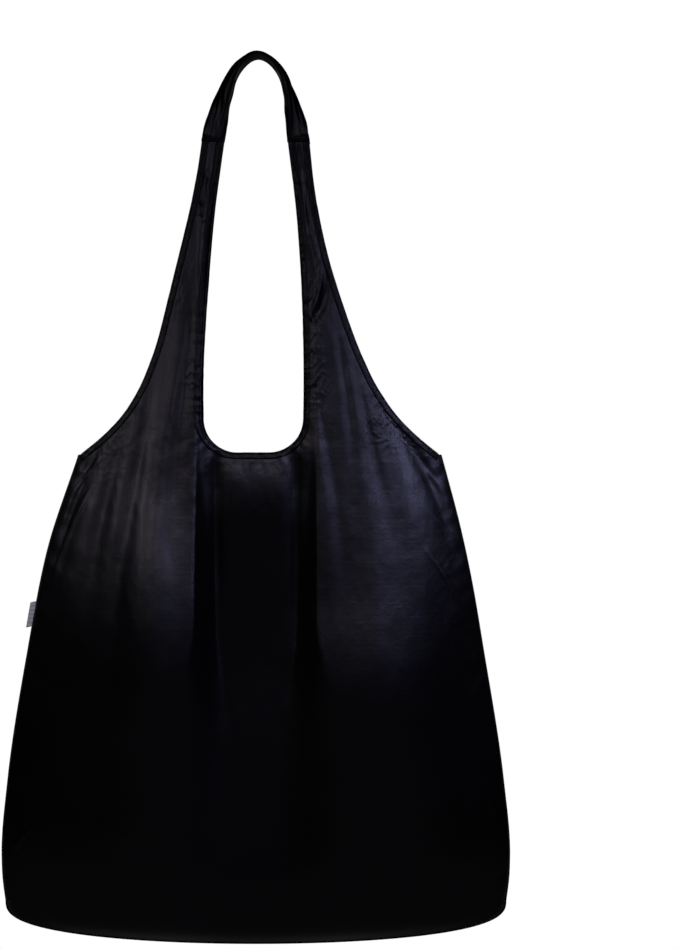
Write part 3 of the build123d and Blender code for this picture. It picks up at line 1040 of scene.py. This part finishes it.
def make_tag():
    """The folded label: two layers that start in the seam and meet in a round outer fold."""
    levels = np.linspace(-412.4, -431.6, 25)
    profile = [(0, 0.30), (1.5, 0.34), (3.2, 0.42), (4.6, 0.40), (5.3, 0.22), (TAG_MM, 0)]
    loop = profile + [(a, -h) for a, h in profile[-2::-1]]
    rings = []
    for z in levels:
        root = side_x(z) - 0.4
        bend = 0.45 * math.sin((z + 412) / 7.5)
        ring = []
        for a, h in loop:
            curl = bend * (a / TAG_MM) ** 2 + 0.18 * noise.noise((a, z / 5.0, 1.0))
            ring.append((-(root + a * 0.98), h + curl, z - 0.22 * a))
        rings.append(ring)
    piece = make_tube("side_tag_label", np.array(rings), label_satin)
    fix_normals(piece)
    return piece


piece = make_tag()
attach(piece, "tag")
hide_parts("side_tag")


# Stuff pouch ---------------------------------------------------------------------------
# The little pouch that the bag packs into hangs inside on a tape from the left side seam. It
# is the same nylon, with a gathered mouth and one white label band across its front.
POUCH_X = -112.0
POUCH_TOP = -347.0
POUCH_LOW = -428.0
POUCH_HALF = 21.0
POUCH_DEEP = 4.5
POUCH_CORNER = 14.0
HEM_Z = -345.0
MOUTH_HALF = 20.6
MOUTH_DEEP = 4.1
MOUTH_FLAT = MOUTH_HALF - MOUTH_DEEP


def mouth_depth(across):
    """Half depth of the flat oval that the elastic holds the mouth to."""
    past = min(max((abs(across) - MOUTH_FLAT) / MOUTH_DEEP, 0), 1)
    return MOUTH_DEEP * math.sqrt(1 - past**2)


def mouth_place(share):
    """A point on the mouth's flat oval, and its outward direction, a share of the way round."""
    half_round = math.pi * MOUTH_DEEP
    half_lap = half_round + 2 * MOUTH_FLAT
    laps, along = divmod(share * 2 * half_lap, half_lap)
    angle = min(along, half_round) / MOUTH_DEEP - math.pi / 2
    out = np.array([math.cos(angle), math.sin(angle)])
    place = np.array([MOUTH_FLAT - max(along - half_round, 0), 0]) + MOUTH_DEEP * out
    side = 1 if laps % 2 == 0 else -1
    return side * place, side * out


def pouch_half_at(z):
    """Half of the pouch's width, with its two round lower corners."""
    low = np.clip((POUCH_LOW + POUCH_CORNER - z) / POUCH_CORNER, 0, 1)
    corner = POUCH_CORNER * (1 - np.sqrt(np.clip(1 - low**2, 0, 1)))
    return POUCH_HALF - corner - 0.6 * np.sin((z - POUCH_LOW) / 26)


def pouch_crown(across):
    """How much of its full depth the pouch has, at a share of its half width."""
    return max(1 - abs(across) ** 2.4, 0) ** 0.8


def grid_quads(rows, columns):
    """Point numbers of a grid of quads, and the quads."""
    index = np.arange((rows + 1) * (columns + 1)).reshape(rows + 1, columns + 1)
    corners = [index[:-1, :-1], index[1:, :-1], index[1:, 1:], index[:-1, 1:]]
    return index, np.stack([c.ravel() for c in corners], 1)


def pouch_wall(name, facing, seed):
    """One side of the pouch: a crowned, crumpled sheet gathered at its mouth."""
    columns, rows = 48, 84
    points = []
    for i in range(rows + 1):
        z = POUCH_TOP + (POUCH_LOW - POUCH_TOP) * i / rows
        half = float(pouch_half_at(z))
        round_low = math.sqrt(max(1 - max(0, 1 - (z - POUCH_LOW) / POUCH_CORNER) ** 2, 0))
        top = math.exp((z - POUCH_TOP) / 13.0)
        for j in range(columns + 1):
            u = -1 + 2 * j / columns
            x = POUCH_X + half * u
            crown = pouch_crown(u)
            y = POUCH_DEEP * crown * (0.55 + 0.45 * round_low) * round_low**0.3
            y += (mouth_depth(half * u) - y) * top
            gather = 1.1 * top * noise.noise((x / 1.9, z / 30.0, seed))
            crumple = noise.noise((x / 9.0, z / 12.0, seed + 4))
            crumple += 0.4 * noise.noise((x / 4, z / 5, seed + 8))
            y += (0.7 * gather + 0.8 * crumple * (1 - 0.8 * top)) * crown**0.5
            points.append((x, facing * max(y, 0.05), z))
    faces = grid_quads(rows, columns)[1]
    return make_mesh(name, points, faces if facing < 0 else faces[:, ::-1], body_nylon)


for word, facing in (("front", -1), ("back", 1)):
    piece = pouch_wall(f"pouch_{word}_wall", facing, 5.0 + facing)
    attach(piece, "pouch")
    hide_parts(f"pouch_{word}")


def make_pouch_hem():
    """The mouth hem: a channel of doubled cloth drawn up in gathers by the elastic in it."""
    around = np.linspace(0, 2 * math.pi, 220, endpoint=False)
    profile = [
        (-2.6, 0.75), (-1.4, 1.05), (0, 1.15), (1.6, 1.0), (2.7, 0.6), (3.0, 0),
        (2.7, -0.5), (1.6, -0.8), (0, -0.9), (-1.4, -0.8), (-2.6, -0.6), (-2.95, 0),
    ]
    rings = []
    for t in around:
        place, out = mouth_place(0.5 + t / (2 * math.pi))
        place = place + (POUCH_X, 0)
        gather = 0.55 * noise.noise((t * 14, 0, 1)) + 0.35 * noise.noise((t * 31, 0, 7))
        level = HEM_Z + 0.35 * noise.noise((t * 9, 2, 2))
        ring = []
        for up, h in profile:
            shift = gather * (1 if h > 0 else 0.4)
            x, y = place + out * (h * 0.8 + shift * 0.8)
            ring.append((x, y, level + up))
        rings.append(ring)
    piece = make_tube("pouch_gathered_hem", np.array(rings), binding_nylon, closed=True)
    fix_normals(piece)
    return piece


piece = make_pouch_hem()
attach(piece, "pouch")
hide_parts("pouch_mouth_hem")


def make_pouch_label():
    """The white band, laid over the pouch's front from seam to seam."""
    columns, rows = 60, 18
    top, low, half = -383.2, -394.8, 19.8
    front, back = [], []
    for i in range(rows + 1):
        z = top + (low - top) * i / rows
        for j in range(columns + 1):
            u = -1 + 2 * j / columns
            x = POUCH_X + half * u
            y = -(POUCH_DEEP * pouch_crown(u * half / POUCH_HALF) + 0.75)
            y -= 0.35 * noise.noise((x / 8.0, z / 14.0, 3.0))
            front.append((x, y, z))
            back.append((x, y + 0.3, z))
    index, faces = grid_quads(rows, columns)
    rim = np.concatenate([index[0, :-1], index[:-1, -1], index[-1, :0:-1], index[:0:-1, 0]])
    other = len(front)
    sides = [[a, b, b + other, a + other] for a, b in zip(rim, np.roll(rim, -1))]
    faces = faces.tolist() + (faces[:, ::-1] + other).tolist() + sides
    piece = make_mesh("pouch_label_band", front + back, faces, label_satin)
    fix_normals(piece)
    return piece


piece = make_pouch_label()
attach(piece, "pouch")
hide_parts("pouch_label")


# Twill tape and braided elastic are dull. Their lighter ribs are drawn broad, 8 to 11 mm apart.
STRIP_RELIEF = (0.6, 0.2)
twill_tape = ribbed_material(
    "twill_tape_woven", "#0c0c0f", 0.65, ("DIAGONAL", 0.9, 0.7, 1.0), STRIP_RELIEF, "#1b1b20",
    Sheen_Weight=0.1
)
braided_elastic = ribbed_material(
    "braided_elastic", "#101013", 0.7, ("Z", 1.2, 0.7, 1.0), STRIP_RELIEF, "#1b1b20",
    Sheen_Weight=0.1
)
TAPE_X = -132.2
TAPE_TOP = -312.6
TAPE_LOW = -345.6


def make_pouch_tape():
    """The 4 mm tape that ties the pouch to the side seam."""
    half = [(0.42, -1.9), (0.5, -1), (0.5, 1), (0.42, 1.9), (0, 2.05)]
    loop = half + [(-h, -w) for h, w in half]
    rings = []
    for z in np.linspace(TAPE_TOP, TAPE_LOW, 37):
        sway = 0.2 * math.sin((z + 312) / 9)
        rings.append([(TAPE_X + h * 0.8 + sway, w, z) for h, w in loop])
    piece = make_tube("pouch_tether_tape", np.array(rings), twill_tape)
    fix_normals(piece)
    return piece


piece = make_pouch_tape()
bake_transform(piece)
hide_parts("pouch_tape")
elastic_ring = bpy.data.objects["pouch_elastic"]
for slot in elastic_ring.material_slots:
    slot.material = braided_elastic


# Floor, backdrop and lights ---------------------------------------------------------------
# A pale floor well below the bag, which glows by itself in place of being lit, with painted shade
# greyer in its middle, and a white backdrop all round. Neither lights the bag: a second disc that only
# the bag sees sends a little light up from below.
def glowing_material(name, strength):
    """A matt surface that glows by itself, white unless its glow is given a colour."""
    made, tree, shader = start_material(name, "#000000", 0.9, Specular_IOR_Level=0)
    shader.inputs["Emission Color"].default_value = linear("#ffffff")
    shader.inputs["Emission Strength"].default_value = strength
    return made, tree, shader


def glowing_floor_painted_shade():
    """A matt floor that glows by itself as painted light, greyer in the middle as painted shade and
    white towards its rim, where the backdrop begins.
    """
    made, tree, shader = glowing_material("floor_glow_painted_shade", 1.0)
    place = node(tree, "ShaderNodeTexCoord").outputs["Object"]
    far = node(tree, "ShaderNodeVectorMath", {"operation": "LENGTH"}, {0: place})
    share = node(
        tree,
        "ShaderNodeMapRange",
        {"From Min": 0.0, "From Max": 3.2},
        {"Value": far.outputs["Value"]},
    )
    # Painted shade: the floor's glow is grey in the middle, near the bag, and turns white towards the
    # rim.
    floor_shade_mix = node(
        tree,
        "ShaderNodeMix",
        {"data_type": "RGBA", "A": linear("#dfdfde"), "B": linear("#ffffff")},
        {"Factor": share.outputs["Result"]},
    )
    tree.links.new(floor_shade_mix.outputs["Result"], shader.inputs["Emission Color"])
    return made


def round_slab(name, radius, z, material):
    """A flat disc that lies level at a height in metres."""
    bpy.ops.mesh.primitive_circle_add(
        vertices=96, radius=radius, fill_type="NGON", location=(0, 0, z)
    )
    disc = bpy.context.object
    disc.name = name
    disc.data.materials.append(material)
    return disc


floor = round_slab("floor", 3.3, -1.25, glowing_floor_painted_shade())
bpy.ops.mesh.primitive_uv_sphere_add(segments=64, ring_count=32, radius=9)
backdrop = bpy.context.object
backdrop.name = "backdrop"
backdrop.data.materials.append(glowing_material("white_backdrop", 1.0)[0])
for ray in ("diffuse", "glossy", "transmission", "volume_scatter", "shadow"):
    setattr(backdrop, f"visible_{ray}", False)
    setattr(floor, f"visible_{ray}", False)
bounce = round_slab("floor_bounce", 4.0, -1.30, glowing_material("floor_glow", 0.05)[0])
bounce.visible_camera = False


def softbox(name, place, aim, size, power, color="#ffffff"):
    """A rectangular soft light at a place in metres, turned to its aim."""
    lamp = bpy.data.lights.new(name, "AREA")
    lamp.shape = "RECTANGLE"
    lamp.size, lamp.size_y = size
    lamp.energy = power
    lamp.color = linear(color)[:3]
    made = bpy.data.objects.new(name, lamp)
    made.location = place
    made.rotation_euler = (Vector(aim) - Vector(place)).to_track_quat("-Z", "Y").to_euler()
    bpy.context.scene.collection.objects.link(made)
    return made


# Five narrow lamps in an arc in front, from left to right: colour, height, aim height, power.
KEY_ARC = (
    ("#f8f2f2", 0.14, -0.40, 0.027),
    ("#f6f0f4", 0.26, -0.47, 0.038),
    ("#eeecf8", 0.33, -0.49, 0.052),
    ("#d6d8ff", 0.26, -0.47, 0.076),
    ("#ced2ff", 0.14, -0.40, 0.066),
)
KEY_AWAY = 1.2
KEY_SIZE = (0.55, 0.12)
for number, (tint, height, aim_z, power) in enumerate(KEY_ARC):
    turn = math.radians(27 * (number - 2))
    x, y = KEY_AWAY * math.sin(turn), -KEY_AWAY * math.cos(turn)
    key = softbox(f"gridded_key_{number}", (x, y, height), (0, 0, aim_z), KEY_SIZE, power, tint)
    key.data.spread = math.radians(25)
    key = softbox(f"gridded_back_{number}", (-x, -y, 0.34), (0, 0, -0.45), KEY_SIZE, 0.14, tint)
    key.data.spread = math.radians(25)
for number, tint in enumerate(("#f6f0f6", "#f0eef8", "#dcdcff")):
    turn = math.radians(34 * (number - 1))
    place = (1.4 * math.sin(turn), -1.4 * math.cos(turn), 0.16)
    high = softbox(f"strap_light_{number}", place, (0, 0, -0.13), (0.6, 0.1), 0.012, tint)
    high.data.spread = math.radians(17)
for side, word in ((-1, "left"), (1, "right")):
    softbox(f"low_back_{word}", (side * 1.5, 1.6, -0.45), (0, 0, -0.4), (0.9, 0.9), 0.9)

world = bpy.data.worlds.new("dim_room")
world.use_nodes = True
world.node_tree.nodes["Background"].inputs["Color"].default_value = linear("#ffffff")
world.node_tree.nodes["Background"].inputs["Strength"].default_value = 0.003
bpy.context.scene.world = world
bpy.context.scene.view_settings.view_transform = "Standard"
